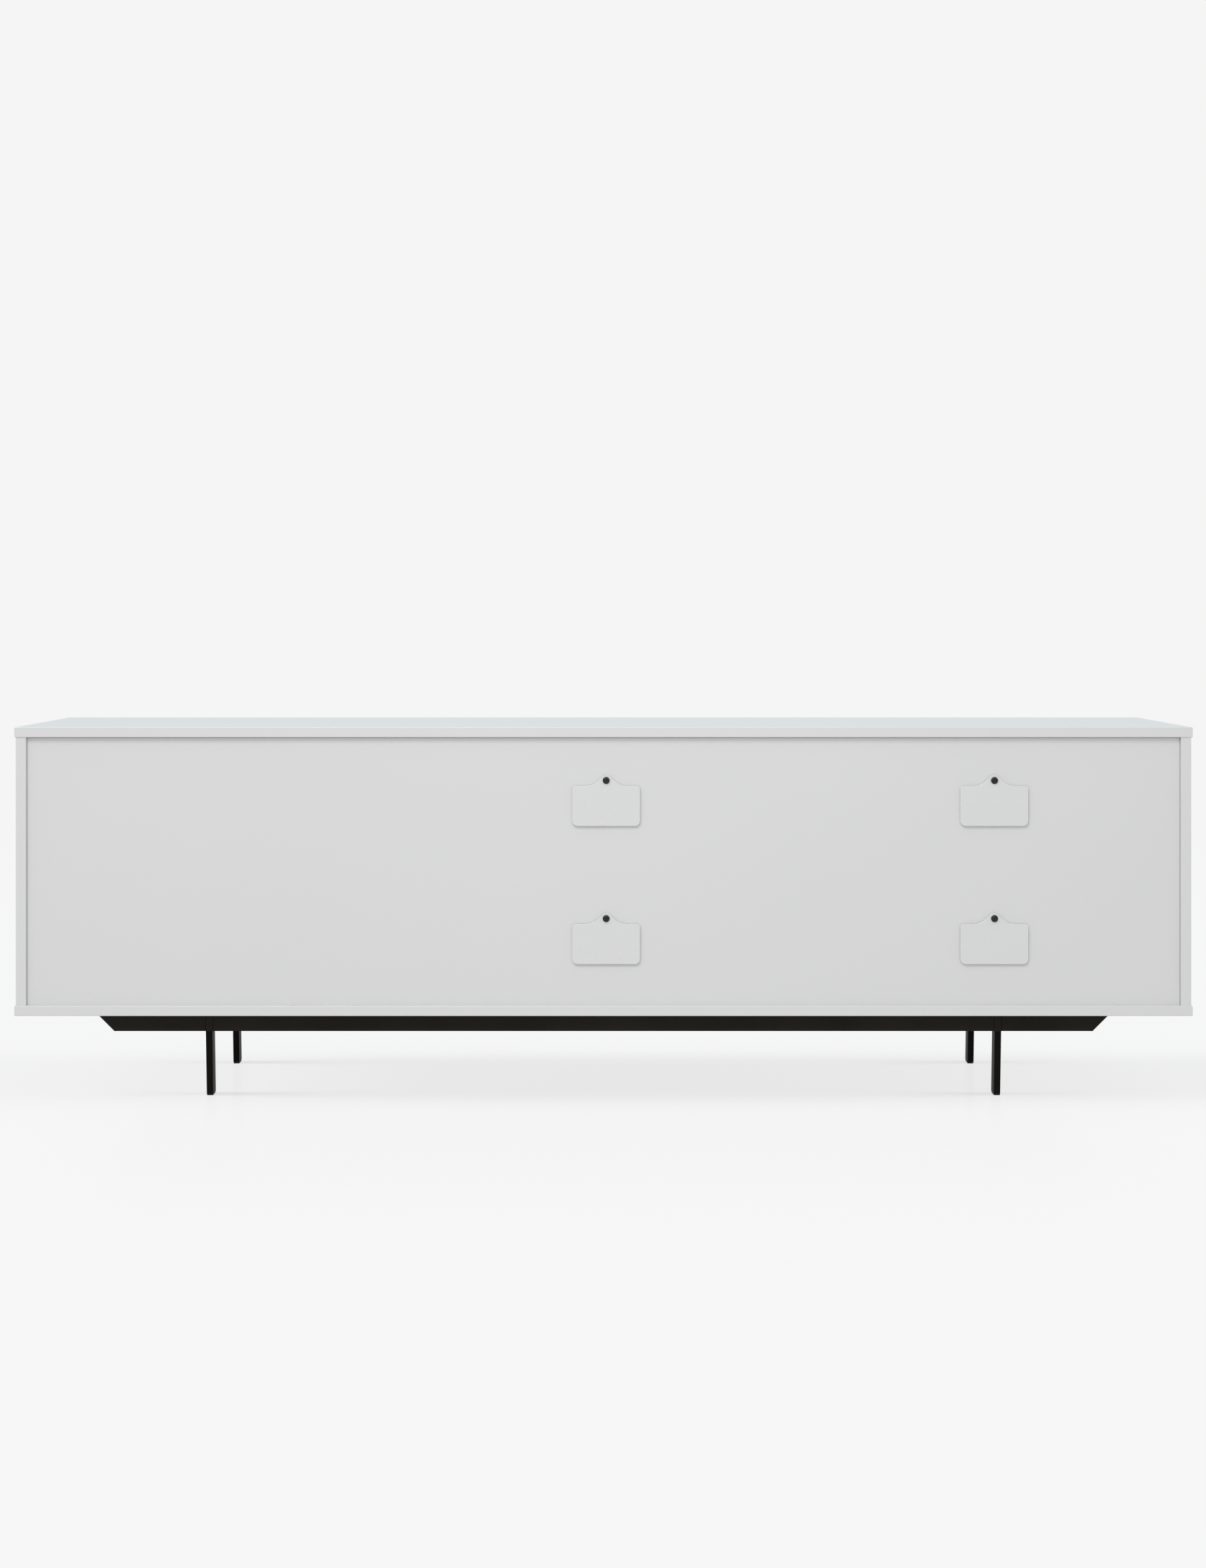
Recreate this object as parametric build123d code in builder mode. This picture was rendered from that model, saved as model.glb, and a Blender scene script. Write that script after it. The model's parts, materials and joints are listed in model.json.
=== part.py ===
from build123d import *
import math
import os

os.makedirs("parts", exist_ok=True)

# A long, low media console: a lacquered cabinet with three bays on a black steel base.
# Millimetres, +Z up, origin on the floor under the middle. The front faces -Y and the rear +Y,
# and "left" and "right" are as seen from the front, so left is -X.

# Cabinet
width = 2200.0  # over the top and bottom slabs
depth = 450.0
base_height = 158.0  # floor to the underside of the cabinet
board = 19.0  # slabs, sides, partitions, shelves and fronts
clear_height = 501.0  # between the slabs
slab_overhang = 2.3  # slabs stand proud of the sides and the fronts
slab_arris = 1.5
edge_arris = 0.8
back_recess = 10.5  # back panel's outer face, in from the slabs' rear edge
back_thickness = 12.0
back_side_gap = 0.5
back_top_gap = 1.0
bumper_gap = 4.0  # between the fronts and the carcass

# Fronts
reveal = 4.0  # between neighbouring fronts
front_gap = 2.5  # between a front and a slab
front_corner = 3.0
pivot_inset = 9.5  # hinge axis from the door's edge and faces
pin_radius = 3.0
pin_hole = 3.02
pin_in_door = 20.0
pin_in_slab = 9.0
pin_chamfer = 0.5
bush_radius = 5.0
bush_hole = 5.02
bush_bore = 3.05
bush_depth = 10.0
bush_flange_radius = 8.0
bush_flange = 1.5

# Push latches and bumpers
latch_width = 14.0
latch_height = 16.0
latch_length = 48.0
latch_drop = 30.0  # latch axis below the ceiling
latch_setback = 2.0
latch_bore = 5.0
latch_end_wall = 4.7
plunger_radius = 4.7
plunger_length = 40.0
plunger_nose = 1.0
strike_radius = 8.0
strike_thickness = 1.5
touch_gap = 0.3
bumper_radius = 3.0
bumper_length = 3.6
bumper_inset = 40.0

# Joinery
dowel_radius = 3.9
dowel_hole = 4.0
dowel_in_slab = 12.0
dowel_in_side = 18.0
blind_gap = 0.5  # every blind hole runs this far past what it holds
dowel_rows = (-150.0, 0.0, 150.0)
back_dowel_radius = 2.9
back_dowel_hole = 3.0
back_dowel_in_back = 8.0
back_dowel_in_partition = 12.0
back_dowel_heights = (220.0, 427.5, 640.0)
shelf_side_gap = 1.0
shelf_setback = 4.0
shelf_rear_gap = 0.5
shelf_pin_radius = 2.5
shelf_pin_hole = 2.52
shelf_pin_in_side = 8.0
shelf_pin_end_gap = 0.16
shelf_pin_reach = 9.0
shelf_pin_rows = (-150.0, 150.0)

# Cable covers and their cut-outs, on the two left bays
cover_width = 127.0
cover_shoulder = 10.6  # shoulders below the pivot
cover_drop = 85.5  # lower edge below the pivot
cover_thickness = 5.4
cover_neck_radius = 10.3
cover_neck_angle = 47.0  # degrees above level where the neck leaves its circle
cover_shoulder_reach = 40.0  # half-width where the shoulder starts to rise
cover_top_corner = 6.0
cover_low_corner = 10.0
cover_arris = 1.0
cover_bore = 3.05
cover_offset = -5.0  # sideways from the bay's middle
cover_below_ceiling = 80.5  # upper pivots, below the cabinet's ceiling
cover_below_shelf = 78.5  # lower pivots, below the shelf
cutout_width = 95.0
cutout_height = 45.0
cutout_corner = 8.0
washer_thickness = 0.8
washer_radius = 8.0
washer_bore = 3.2
screw_radius = 3.0
screw_head_radius = 6.5
screw_head_height = 3.5
screw_head_round = 2.6
screw_socket_radius = 2.3
screw_socket_depth = 1.8
screw_in_back = 9.5
screw_hole = 3.02
cover_play = 0.3  # between a cover and its screw head

# Steel base
beam_height = 37.0
beam_depth = 30.0
beam_outer_y = 174.0
beam_low_reach = 923.5  # half-length at the lower edge; the ends lean out at 45 degrees
beam_wall = 2.0
beam_corner = 1.0
leg_x = 743.0  # at the foot
leg_lean = 1.8  # a leg's top is this much further out than its foot
leg_width = 12.5
leg_corner = 0.8
rail_width = 30.0
rail_height = 25.0
glide_height = 3.0
glide_inset = 0.5
tab_width = 40.0
tab_reach = 40.0
tab_thickness = 3.0
tab_columns = (-850.0, 0.0, 850.0)
tab_hole = 3.3
tab_screw_y = 120.0
tab_screw_head_radius = 6.0
tab_screw_head_height = 3.5
tab_screw_socket = 2.0
tab_screw_length = 12.5
insert_radius = 5.0
insert_length = 12.0

# Drawers, in the right bay
box_board = 12.0
box_height = 190.0
box_rise = 20.0  # box above the front's lower edge
box_length = 374.0
bottom_thickness = 6.0
bottom_rise = 10.0
groove_depth = 5.0
groove_slack = 0.1
groove_end_slack = 0.5  # at each end of the groove across the front
slide_width = 12.7
slide_length = 350.0
slide_rise = 80.0  # slide centre above the front's lower edge
slide_gauge = 1.2
slide_members = {
    "cabinet_slides": (0.0, 9.0, 0.0, 22.5),  # from the wall: nearest, furthest, web; half-height
    "middle_slides": (4.0, 11.0, 4.0, 20.0),
    "drawer_slides": (6.4, 12.7, 11.5, 17.0),
}

# Places worked out from the dimensions
rear = depth / 2
floor_top = base_height + board
ceiling = floor_top + clear_height
side_outer = width / 2 - slab_overhang
side_inner = side_outer - board
side_middle = side_outer - board / 2
bay_width = (2 * side_inner - 2 * board) / 3
bay_pitch = bay_width + board
partition_x = bay_pitch / 2
side_rear = rear - slab_overhang
back_outer = rear - back_recess
back_inner = back_outer - back_thickness
front_face = -rear + slab_overhang
front_back = front_face + board
carcass_front = front_back + bumper_gap
shelf_z = (floor_top + ceiling - board) / 2
pivot_y = front_face + board / 2
door_low = floor_top + front_gap
door_high = ceiling - front_gap
left_pivot_x = -side_outer + pivot_inset
centre_pivot_x = partition_x - reveal / 2 - pivot_inset
latch_z = ceiling - latch_drop
latch_y = carcass_front + latch_setback
latch_offset = (board + latch_width) / 2
plunger_tip_y = front_back + strike_thickness + touch_gap
shelf_pin_z = shelf_z - shelf_pin_hole
cover_inner_y = back_outer + washer_thickness
cover_outer_y = cover_inner_y + cover_thickness
screw_seat_y = cover_outer_y + cover_play
beam_low = base_height - beam_height
beam_middle_y = beam_outer_y - beam_depth / 2
beam_inner_y = beam_outer_y - beam_depth
beam_high_reach = beam_low_reach + beam_height
cap_shift = beam_wall * math.sqrt(2)
drawer_front_height = (door_high - door_low - reveal) / 2

bay_left = -bay_pitch
cover_columns = {"left": bay_left + cover_offset, "centre": cover_offset}
cover_rows = {"upper": ceiling - cover_below_ceiling, "lower": shelf_z - cover_below_shelf}
cover_pivots = [(x, z) for x in cover_columns.values() for z in cover_rows.values()]
wall_places = (-side_middle, -partition_x, partition_x, side_middle)
dowel_places = [(x, y) for x in wall_places for y in dowel_rows]
pivot_places = [(left_pivot_x, pivot_y), (centre_pivot_x, pivot_y)]
tab_places = [(x, side * tab_screw_y) for x in tab_columns for side in (-1, 1)]
latch_places = [-partition_x - latch_offset, -partition_x + latch_offset]


def save(piece, name):
    """Label a finished piece and write it."""
    piece.part.label = name
    export_step(piece.part, f"parts/{name}.step")


def facing_rear(y):
    """Plane at depth y whose local axes are X and Z; extrudes run forwards, towards -Y."""
    return Plane.XZ.offset(-y)


def facing_side(x):
    """Plane at x whose local axes are Y and Z; extrudes run towards +X."""
    return Plane.YZ.offset(x)


# Slabs
with BuildPart() as top_panel:
    with BuildSketch(Plane.XY.offset(ceiling)):
        Rectangle(width, depth)
    extrude(amount=board)
    fillet(top_panel.edges(), slab_arris)
    with BuildSketch(Plane.XY.offset(ceiling)):
        with Locations(*dowel_places):
            Circle(dowel_hole)
    extrude(amount=dowel_in_slab + blind_gap, mode=Mode.SUBTRACT)
    with BuildSketch(Plane.XY.offset(ceiling)):
        with Locations(*pivot_places):
            Circle(bush_hole)
    extrude(amount=bush_depth + blind_gap, mode=Mode.SUBTRACT)
save(top_panel, "top_panel")

with BuildPart() as bottom_panel:
    with BuildSketch(Plane.XY.offset(base_height)):
        Rectangle(width, depth)
    extrude(amount=board)
    fillet(bottom_panel.edges(), slab_arris)
    with BuildSketch(Plane.XY.offset(floor_top)):
        with Locations(*dowel_places):
            Circle(dowel_hole)
    extrude(amount=-dowel_in_slab - blind_gap, mode=Mode.SUBTRACT)
    with BuildSketch(Plane.XY.offset(floor_top)):
        with Locations(*pivot_places):
            Circle(bush_hole)
    extrude(amount=-bush_depth - blind_gap, mode=Mode.SUBTRACT)
    with BuildSketch(Plane.XY.offset(base_height)):
        with Locations(*tab_places):
            Circle(bush_hole)
    extrude(amount=insert_length + blind_gap, mode=Mode.SUBTRACT)
save(bottom_panel, "bottom_panel")


def upright(name, x, y_high, pin_faces, back_dowels=False):
    """A side panel or partition centred on x, with its dowel and shelf-pin holes."""
    with BuildPart() as piece:
        with BuildSketch(Plane.XY.offset(floor_top)):
            with Locations((x, (carcass_front + y_high) / 2)):
                Rectangle(board, y_high - carcass_front)
        extrude(amount=clear_height)
        fillet(piece.edges().filter_by(Axis.Z), edge_arris)
        for level, direction in ((floor_top, 1), (ceiling, -1)):
            with BuildSketch(Plane.XY.offset(level)):
                with Locations(*[(x, y) for y in dowel_rows]):
                    Circle(dowel_hole)
            extrude(amount=direction * (dowel_in_side + blind_gap), mode=Mode.SUBTRACT)
        for face in pin_faces:
            with BuildSketch(facing_side(x + face * board / 2)):
                with Locations(*[(y, shelf_pin_z) for y in shelf_pin_rows]):
                    Circle(shelf_pin_hole)
            extrude(amount=-face * shelf_pin_in_side, mode=Mode.SUBTRACT)
        if back_dowels:
            with BuildSketch(facing_rear(back_inner)):
                with Locations(*[(x, z) for z in back_dowel_heights]):
                    Circle(back_dowel_hole)
            extrude(amount=back_dowel_in_partition + blind_gap, mode=Mode.SUBTRACT)
    save(piece, name)


upright("side_panel_left", -side_middle, side_rear, (1,))
upright("side_panel_right", side_middle, side_rear, ())
upright("partition_left", -partition_x, back_inner, (-1, 1), back_dowels=True)
upright("partition_right", partition_x, back_inner, (-1,), back_dowels=True)

with BuildPart() as back_panel:
    with BuildSketch(facing_rear(back_outer)):
        with Locations((0, floor_top + (clear_height - back_top_gap) / 2)):
            Rectangle(2 * (side_inner - back_side_gap), clear_height - back_top_gap)
        with Locations(*[(x, z - (cover_shoulder + cover_drop) / 2) for x, z in cover_pivots]):
            RectangleRounded(cutout_width, cutout_height, cutout_corner, mode=Mode.SUBTRACT)
    extrude(amount=back_thickness)
    with BuildSketch(facing_rear(back_outer)):
        with Locations(*cover_pivots):
            Circle(screw_hole)
    extrude(amount=screw_in_back + blind_gap, mode=Mode.SUBTRACT)
    with BuildSketch(facing_rear(back_inner)):
        with Locations(*[(side * partition_x, z) for side in (-1, 1) for z in back_dowel_heights]):
            Circle(back_dowel_hole)
    extrude(amount=-back_dowel_in_back - blind_gap, mode=Mode.SUBTRACT)
save(back_panel, "back_panel")


def shelf(name, bay_x):
    """A loose mid-height shelf that lies on four pins."""
    y_low = carcass_front + shelf_setback
    y_high = back_inner - shelf_rear_gap
    with BuildPart() as piece:
        with BuildSketch(Plane.XY.offset(shelf_z)):
            with Locations((bay_x, (y_low + y_high) / 2)):
                Rectangle(bay_width - 2 * shelf_side_gap, y_high - y_low)
        extrude(amount=board)
        fillet(piece.edges().filter_by(Axis.X), edge_arris)
    save(piece, name)


shelf("shelf_left", bay_left)
shelf("shelf_centre", 0)

with BuildPart() as shelf_pins:
    for bay_x in (bay_left, 0):
        for side in (-1, 1):
            wall_x = bay_x + side * bay_width / 2
            with BuildSketch(facing_side(wall_x + side * (shelf_pin_in_side - shelf_pin_end_gap))):
                with Locations(*[(y, shelf_pin_z) for y in shelf_pin_rows]):
                    Circle(shelf_pin_radius)
            extrude(amount=-side * (shelf_pin_in_side - shelf_pin_end_gap + shelf_pin_reach))
save(shelf_pins, "shelf_pins")

with BuildPart() as carcass_dowels:
    for level in (floor_top - dowel_in_slab, ceiling - dowel_in_side):
        with BuildSketch(Plane.XY.offset(level)):
            with Locations(*dowel_places):
                Circle(dowel_radius)
        extrude(amount=dowel_in_slab + dowel_in_side)
save(carcass_dowels, "carcass_dowels")

with BuildPart() as back_dowels:
    with BuildSketch(facing_rear(back_inner + back_dowel_in_back)):
        with Locations(*[(side * partition_x, z) for side in (-1, 1) for z in back_dowel_heights]):
            Circle(back_dowel_radius)
    extrude(amount=back_dowel_in_back + back_dowel_in_partition)
save(back_dowels, "back_dowels")


# Steel base
def beam(name, side):
    """A rectangular tube along the cabinet, its ends leaning out at 45 degrees."""
    with BuildPart() as piece:
        with BuildSketch(facing_rear(side * beam_middle_y + beam_depth / 2)):
            with BuildLine():
                Polyline(
                    (-beam_low_reach + cap_shift, beam_low),
                    (beam_low_reach - cap_shift, beam_low),
                    (beam_high_reach - cap_shift, base_height),
                    (-beam_high_reach + cap_shift, base_height),
                    close=True,
                )
            make_face()
        extrude(amount=beam_depth)
        fillet(piece.edges().filter_by(Axis.X), beam_corner)
        with BuildSketch(facing_side(-width / 2)):
            with Locations((side * beam_middle_y, beam_low + beam_height / 2)):
                Rectangle(beam_depth - 2 * beam_wall, beam_height - 2 * beam_wall)
        extrude(amount=width, mode=Mode.SUBTRACT)
    save(piece, name)


beam("rear_beam", 1)
beam("front_beam", -1)

with BuildPart() as beam_end_caps:
    for side in (-1, 1):
        with BuildSketch(facing_rear(side * beam_middle_y + beam_depth / 2)):
            for end in (-1, 1):
                with BuildLine():
                    Polyline(
                        (end * beam_low_reach, beam_low),
                        (end * beam_high_reach, base_height),
                        (end * (beam_high_reach - cap_shift), base_height),
                        (end * (beam_low_reach - cap_shift), beam_low),
                        close=True,
                    )
                make_face()
        extrude(amount=beam_depth)
save(beam_end_caps, "beam_end_caps")


def cross_rail(name, x):
    """A tube that ties the two beams together over a pair of legs."""
    with BuildPart() as piece:
        with BuildSketch(facing_rear(beam_inner_y)):
            with Locations((x, base_height - rail_height / 2)):
                Rectangle(rail_width, rail_height)
                Rectangle(rail_width - 2 * beam_wall, rail_height - 2 * beam_wall, mode=Mode.SUBTRACT)
        extrude(amount=2 * beam_inner_y)
    save(piece, name)


def leg(name, x, y):
    """A flat-bar leg from the glide up to the beam's underside, leaning out very slightly."""
    rise = Vector(math.copysign(leg_lean, x), 0, beam_low - glide_height)
    with BuildPart() as piece:
        with BuildSketch(Plane.XY.offset(glide_height)):
            with Locations((x, y)):
                RectangleRounded(leg_width, beam_depth, leg_corner)
        extrude(amount=rise.length, dir=rise)
    save(piece, name)


for side_name, side in (("left", -1), ("right", 1)):
    cross_rail(f"cross_rail_{side_name}", side * (leg_x + leg_lean))
    leg(f"leg_front_{side_name}", side * leg_x, -beam_middle_y)
    leg(f"leg_rear_{side_name}", side * leg_x, beam_middle_y)

with BuildPart() as glides:
    with BuildSketch():
        with GridLocations(2 * leg_x, 2 * beam_middle_y, 2, 2):
            RectangleRounded(leg_width - 2 * glide_inset, beam_depth - 2 * glide_inset, leg_corner)
    extrude(amount=glide_height)
save(glides, "glides")

with BuildPart() as frame_tabs:
    with BuildSketch(Plane.XY.offset(base_height - tab_thickness)):
        with GridLocations(tab_columns[2], 2 * beam_inner_y - tab_reach, 3, 2):
            Rectangle(tab_width, tab_reach)
        with Locations(*tab_places):
            Circle(tab_hole, mode=Mode.SUBTRACT)
    extrude(amount=tab_thickness)
save(frame_tabs, "frame_tabs")

with BuildPart() as frame_screws:
    with BuildSketch(Plane.XY.offset(base_height - tab_thickness)):
        with Locations(*tab_places):
            Circle(tab_screw_head_radius)
    extrude(amount=-tab_screw_head_height)
    with BuildSketch(Plane.XY.offset(base_height - tab_thickness - tab_screw_head_height)):
        with Locations(*tab_places):
            RegularPolygon(screw_socket_radius, 6)
    extrude(amount=tab_screw_socket, mode=Mode.SUBTRACT)
    with BuildSketch(Plane.XY.offset(base_height - tab_thickness)):
        with Locations(*tab_places):
            Circle(screw_radius)
    extrude(amount=tab_screw_length)
save(frame_screws, "frame_screws")

with BuildPart() as frame_inserts:
    with BuildSketch(Plane.XY.offset(base_height)):
        with Locations(*tab_places):
            Circle(insert_radius)
            Circle(screw_hole, mode=Mode.SUBTRACT)
    extrude(amount=insert_length)
save(frame_inserts, "frame_inserts")


# Cable covers
def cable_cover(name, x, z):
    """A bell-necked flap that hangs from one screw over a cable cut-out."""
    neck_x = cover_neck_radius * math.cos(math.radians(cover_neck_angle))
    neck_z = cover_neck_radius * math.sin(math.radians(cover_neck_angle))
    half = cover_width / 2
    plane = Plane(origin=(x, cover_outer_y, z), x_dir=(1, 0, 0), z_dir=(0, -1, 0))
    with BuildPart() as piece:
        with BuildSketch(plane) as outline:
            with BuildLine():
                ThreePointArc((-neck_x, neck_z), (0, cover_neck_radius), (neck_x, neck_z))
                Spline(
                    (neck_x, neck_z),
                    (cover_shoulder_reach, -cover_shoulder),
                    tangents=[(neck_z, -neck_x), (1, 0)],
                )
                Polyline(
                    (cover_shoulder_reach, -cover_shoulder),
                    (half, -cover_shoulder),
                    (half, -cover_drop),
                    (-half, -cover_drop),
                    (-half, -cover_shoulder),
                    (-cover_shoulder_reach, -cover_shoulder),
                )
                Spline(
                    (-cover_shoulder_reach, -cover_shoulder),
                    (-neck_x, neck_z),
                    tangents=[(1, 0), (neck_z, neck_x)],
                )
            make_face()
            fillet(outline.vertices().group_by(Axis.Y)[0], cover_low_corner)
            left_side, right_side = (outline.vertices().group_by(Axis.X)[end] for end in (0, -1))
            fillet([left_side.sort_by(Axis.Y)[-1], right_side.sort_by(Axis.Y)[-1]], cover_top_corner)
        extrude(amount=cover_thickness)
        fillet(piece.faces().sort_by(Axis.Y)[-1].edges(), cover_arris)
        with BuildSketch(plane):
            Circle(cover_bore)
        extrude(amount=cover_thickness, mode=Mode.SUBTRACT)
    save(piece, name)


for column, x in cover_columns.items():
    for row, z in cover_rows.items():
        cable_cover(f"cable_cover_{column}_{row}", x, z)

with BuildPart() as cover_screws:
    with BuildSketch(facing_rear(screw_seat_y)):
        with Locations(*cover_pivots):
            Circle(screw_head_radius)
    extrude(amount=-screw_head_height)
    fillet(cover_screws.faces().group_by(Axis.Y)[-1].edges(), screw_head_round)
    with BuildSketch(facing_rear(screw_seat_y + screw_head_height)):
        with Locations(*cover_pivots):
            RegularPolygon(screw_socket_radius, 6)
    extrude(amount=screw_socket_depth, mode=Mode.SUBTRACT)
    with BuildSketch(facing_rear(screw_seat_y)):
        with Locations(*cover_pivots):
            Circle(screw_radius)
    extrude(amount=screw_seat_y - back_outer + screw_in_back)
save(cover_screws, "cover_screws")

with BuildPart() as cover_washers:
    with BuildSketch(facing_rear(cover_inner_y)):
        with Locations(*cover_pivots):
            Circle(washer_radius)
            Circle(washer_bore, mode=Mode.SUBTRACT)
    extrude(amount=washer_thickness)
save(cover_washers, "cover_washers")


# Doors
def door(name, x_low, x_high, pivot_x, strike_x):
    """A slab door with its pivot pins and the latch's strike plate."""
    with BuildPart() as panel:
        with BuildSketch(Plane.XY.offset(door_low)):
            with Locations(((x_low + x_high) / 2, pivot_y)):
                RectangleRounded(x_high - x_low, board, front_corner)
        extrude(amount=door_high - door_low)
        for level, direction in ((door_low, 1), (door_high, -1)):
            with BuildSketch(Plane.XY.offset(level)):
                with Locations((pivot_x, pivot_y)):
                    Circle(pin_hole)
            extrude(amount=direction * (pin_in_door + blind_gap), mode=Mode.SUBTRACT)
    save(panel, f"{name}_panel")

    with BuildPart() as pins:
        for level in (floor_top - pin_in_slab, door_high - pin_in_door):
            with BuildSketch(Plane.XY.offset(level)):
                with Locations((pivot_x, pivot_y)):
                    Circle(pin_radius)
            extrude(amount=pin_in_slab + front_gap + pin_in_door)
        chamfer(pins.edges().filter_by(GeomType.CIRCLE), pin_chamfer)
    save(pins, f"{name}_pins")

    with BuildPart() as strike:
        with BuildSketch(facing_rear(front_back + strike_thickness)):
            with Locations((strike_x, latch_z)):
                Circle(strike_radius)
        extrude(amount=strike_thickness)
    save(strike, f"{name}_strike")


door("door_left", -side_outer, -partition_x - reveal / 2, left_pivot_x, latch_places[0])
door("door_centre", -partition_x + reveal / 2, partition_x - reveal / 2, centre_pivot_x, latch_places[1])

with BuildPart() as pivot_bushes:
    for level, direction in ((floor_top, 1), (ceiling, -1)):
        with BuildSketch(Plane.XY.offset(level)):
            with Locations(*pivot_places):
                Circle(bush_flange_radius)
        extrude(amount=direction * bush_flange)
        with BuildSketch(Plane.XY.offset(level)):
            with Locations(*pivot_places):
                Circle(bush_radius)
        extrude(amount=-direction * bush_depth)
        with BuildSketch(Plane.XY.offset(level + direction * bush_flange)):
            with Locations(*pivot_places):
                Circle(bush_bore)
        extrude(amount=-direction * (bush_depth + bush_flange), mode=Mode.SUBTRACT)
save(pivot_bushes, "pivot_bushes")

with BuildPart() as latch_housings:
    with BuildSketch(facing_rear(latch_y + latch_length)):
        with Locations(*[(x, latch_z) for x in latch_places]):
            Rectangle(latch_width, latch_height)
    extrude(amount=latch_length)
    with BuildSketch(facing_rear(latch_y + latch_length - latch_end_wall)):
        with Locations(*[(x, latch_z) for x in latch_places]):
            Circle(latch_bore)
    extrude(amount=latch_length, mode=Mode.SUBTRACT)
save(latch_housings, "latch_housings")


def latch_plunger(name, x):
    """The plunger that pushes a door open, its tip just short of the strike plate."""
    with BuildPart() as piece:
        with BuildSketch(facing_rear(plunger_tip_y + plunger_length)):
            with Locations((x, latch_z)):
                Circle(plunger_radius)
        extrude(amount=plunger_length)
        fillet(piece.edges().group_by(Axis.Y)[0], plunger_nose)
    save(piece, name)


latch_plunger("latch_plunger_left", latch_places[0])
latch_plunger("latch_plunger_centre", latch_places[1])

# Bumpers under the doors' free edges and behind both ends of each drawer front
front_lows = {"lower": door_low, "upper": door_low + drawer_front_height + reveal}
edge_strip = (board / 2 + reveal / 2) / 2
door_bumpers = [
    (-partition_x + side * edge_strip, z)
    for side in (-1, 1)
    for z in (door_low + bumper_inset, door_high - bumper_inset)
]
drawer_bumpers = [
    (x, low + z)
    for x in (partition_x + edge_strip, side_middle)
    for low in front_lows.values()
    for z in (bumper_inset, drawer_front_height - bumper_inset)
]
with BuildPart() as bumpers:
    with BuildSketch(facing_rear(carcass_front)):
        with Locations(*door_bumpers, *drawer_bumpers):
            Circle(bumper_radius)
    extrude(amount=bumper_length)
save(bumpers, "bumpers")

# Drawers
drawer_low_x = partition_x + reveal / 2
box_low_x = partition_x + board / 2 + slide_width
box_high_x = side_inner - slide_width
box_middle_x = (box_low_x + box_high_x) / 2
box_rear = front_back + box_length


def slides(name, z, members):
    """A pair of slide members, one on each side of the drawer box."""
    near, far, web, half_height = members
    with BuildPart() as piece:
        with BuildSketch(facing_rear(carcass_front + slide_length)):
            for side in (-1, 1):
                wall_x = bay_pitch + side * bay_width / 2
                with Locations((wall_x - side * (web + slide_gauge / 2), z)):
                    Rectangle(slide_gauge, 2 * half_height)
                for edge in (-1, 1):
                    with Locations(
                        (wall_x - side * (near + far) / 2, z + edge * (half_height - slide_gauge / 2))
                    ):
                        Rectangle(far - near, slide_gauge)
        extrude(amount=slide_length)
    save(piece, name)


def drawer(name, low):
    """A slab-fronted drawer: front, two sides, back and a grooved-in bottom."""
    box_low = low + box_rise
    bottom_z = box_low + bottom_rise
    groove_height = bottom_thickness + 2 * groove_slack
    inner_low = box_low_x + box_board
    inner_high = box_high_x - box_board

    with BuildPart() as front:
        with BuildSketch(Plane.XY.offset(low)):
            with Locations(((drawer_low_x + side_outer) / 2, pivot_y)):
                RectangleRounded(side_outer - drawer_low_x, board, front_corner)
        extrude(amount=drawer_front_height)
        with BuildSketch(Plane.XY.offset(bottom_z - groove_slack)):
            with Locations((box_middle_x, front_back - groove_depth / 2)):
                Rectangle(inner_high - inner_low + 2 * (groove_depth + groove_end_slack), groove_depth)
        extrude(amount=groove_height, mode=Mode.SUBTRACT)
    save(front, f"{name}_front")

    for side_name, x, inward in (("left", box_low_x, 1), ("right", box_high_x, -1)):
        with BuildPart() as side:
            with BuildSketch(Plane.XY.offset(box_low)):
                with Locations((x + inward * box_board / 2, (front_back + box_rear) / 2)):
                    Rectangle(box_board, box_length)
            extrude(amount=box_height)
            with BuildSketch(Plane.XY.offset(bottom_z - groove_slack)):
                with Locations((x + inward * (box_board - groove_depth / 2), (front_back + box_rear) / 2)):
                    Rectangle(groove_depth, box_length)
            extrude(amount=groove_height, mode=Mode.SUBTRACT)
        save(side, f"{name}_side_{side_name}")

    with BuildPart() as back:
        with BuildSketch(Plane.XY.offset(bottom_z + bottom_thickness)):
            with Locations((box_middle_x, box_rear - box_board / 2)):
                Rectangle(inner_high - inner_low, box_board)
        extrude(amount=box_low + box_height - bottom_z - bottom_thickness)
    save(back, f"{name}_back")

    bottom_front = front_back - groove_depth + groove_slack
    with BuildPart() as bottom:
        with BuildSketch(Plane.XY.offset(bottom_z)):
            with Locations((box_middle_x, (bottom_front + box_rear) / 2)):
                Rectangle(inner_high - inner_low + 2 * (groove_depth - groove_slack), box_rear - bottom_front)
        extrude(amount=bottom_thickness)
    save(bottom, f"{name}_bottom")

    for member, section in slide_members.items():
        slides(f"{name}_{member}", low + slide_rise, section)


for row, low in front_lows.items():
    drawer(f"drawer_{row}", low)
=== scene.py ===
import json
import math

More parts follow.
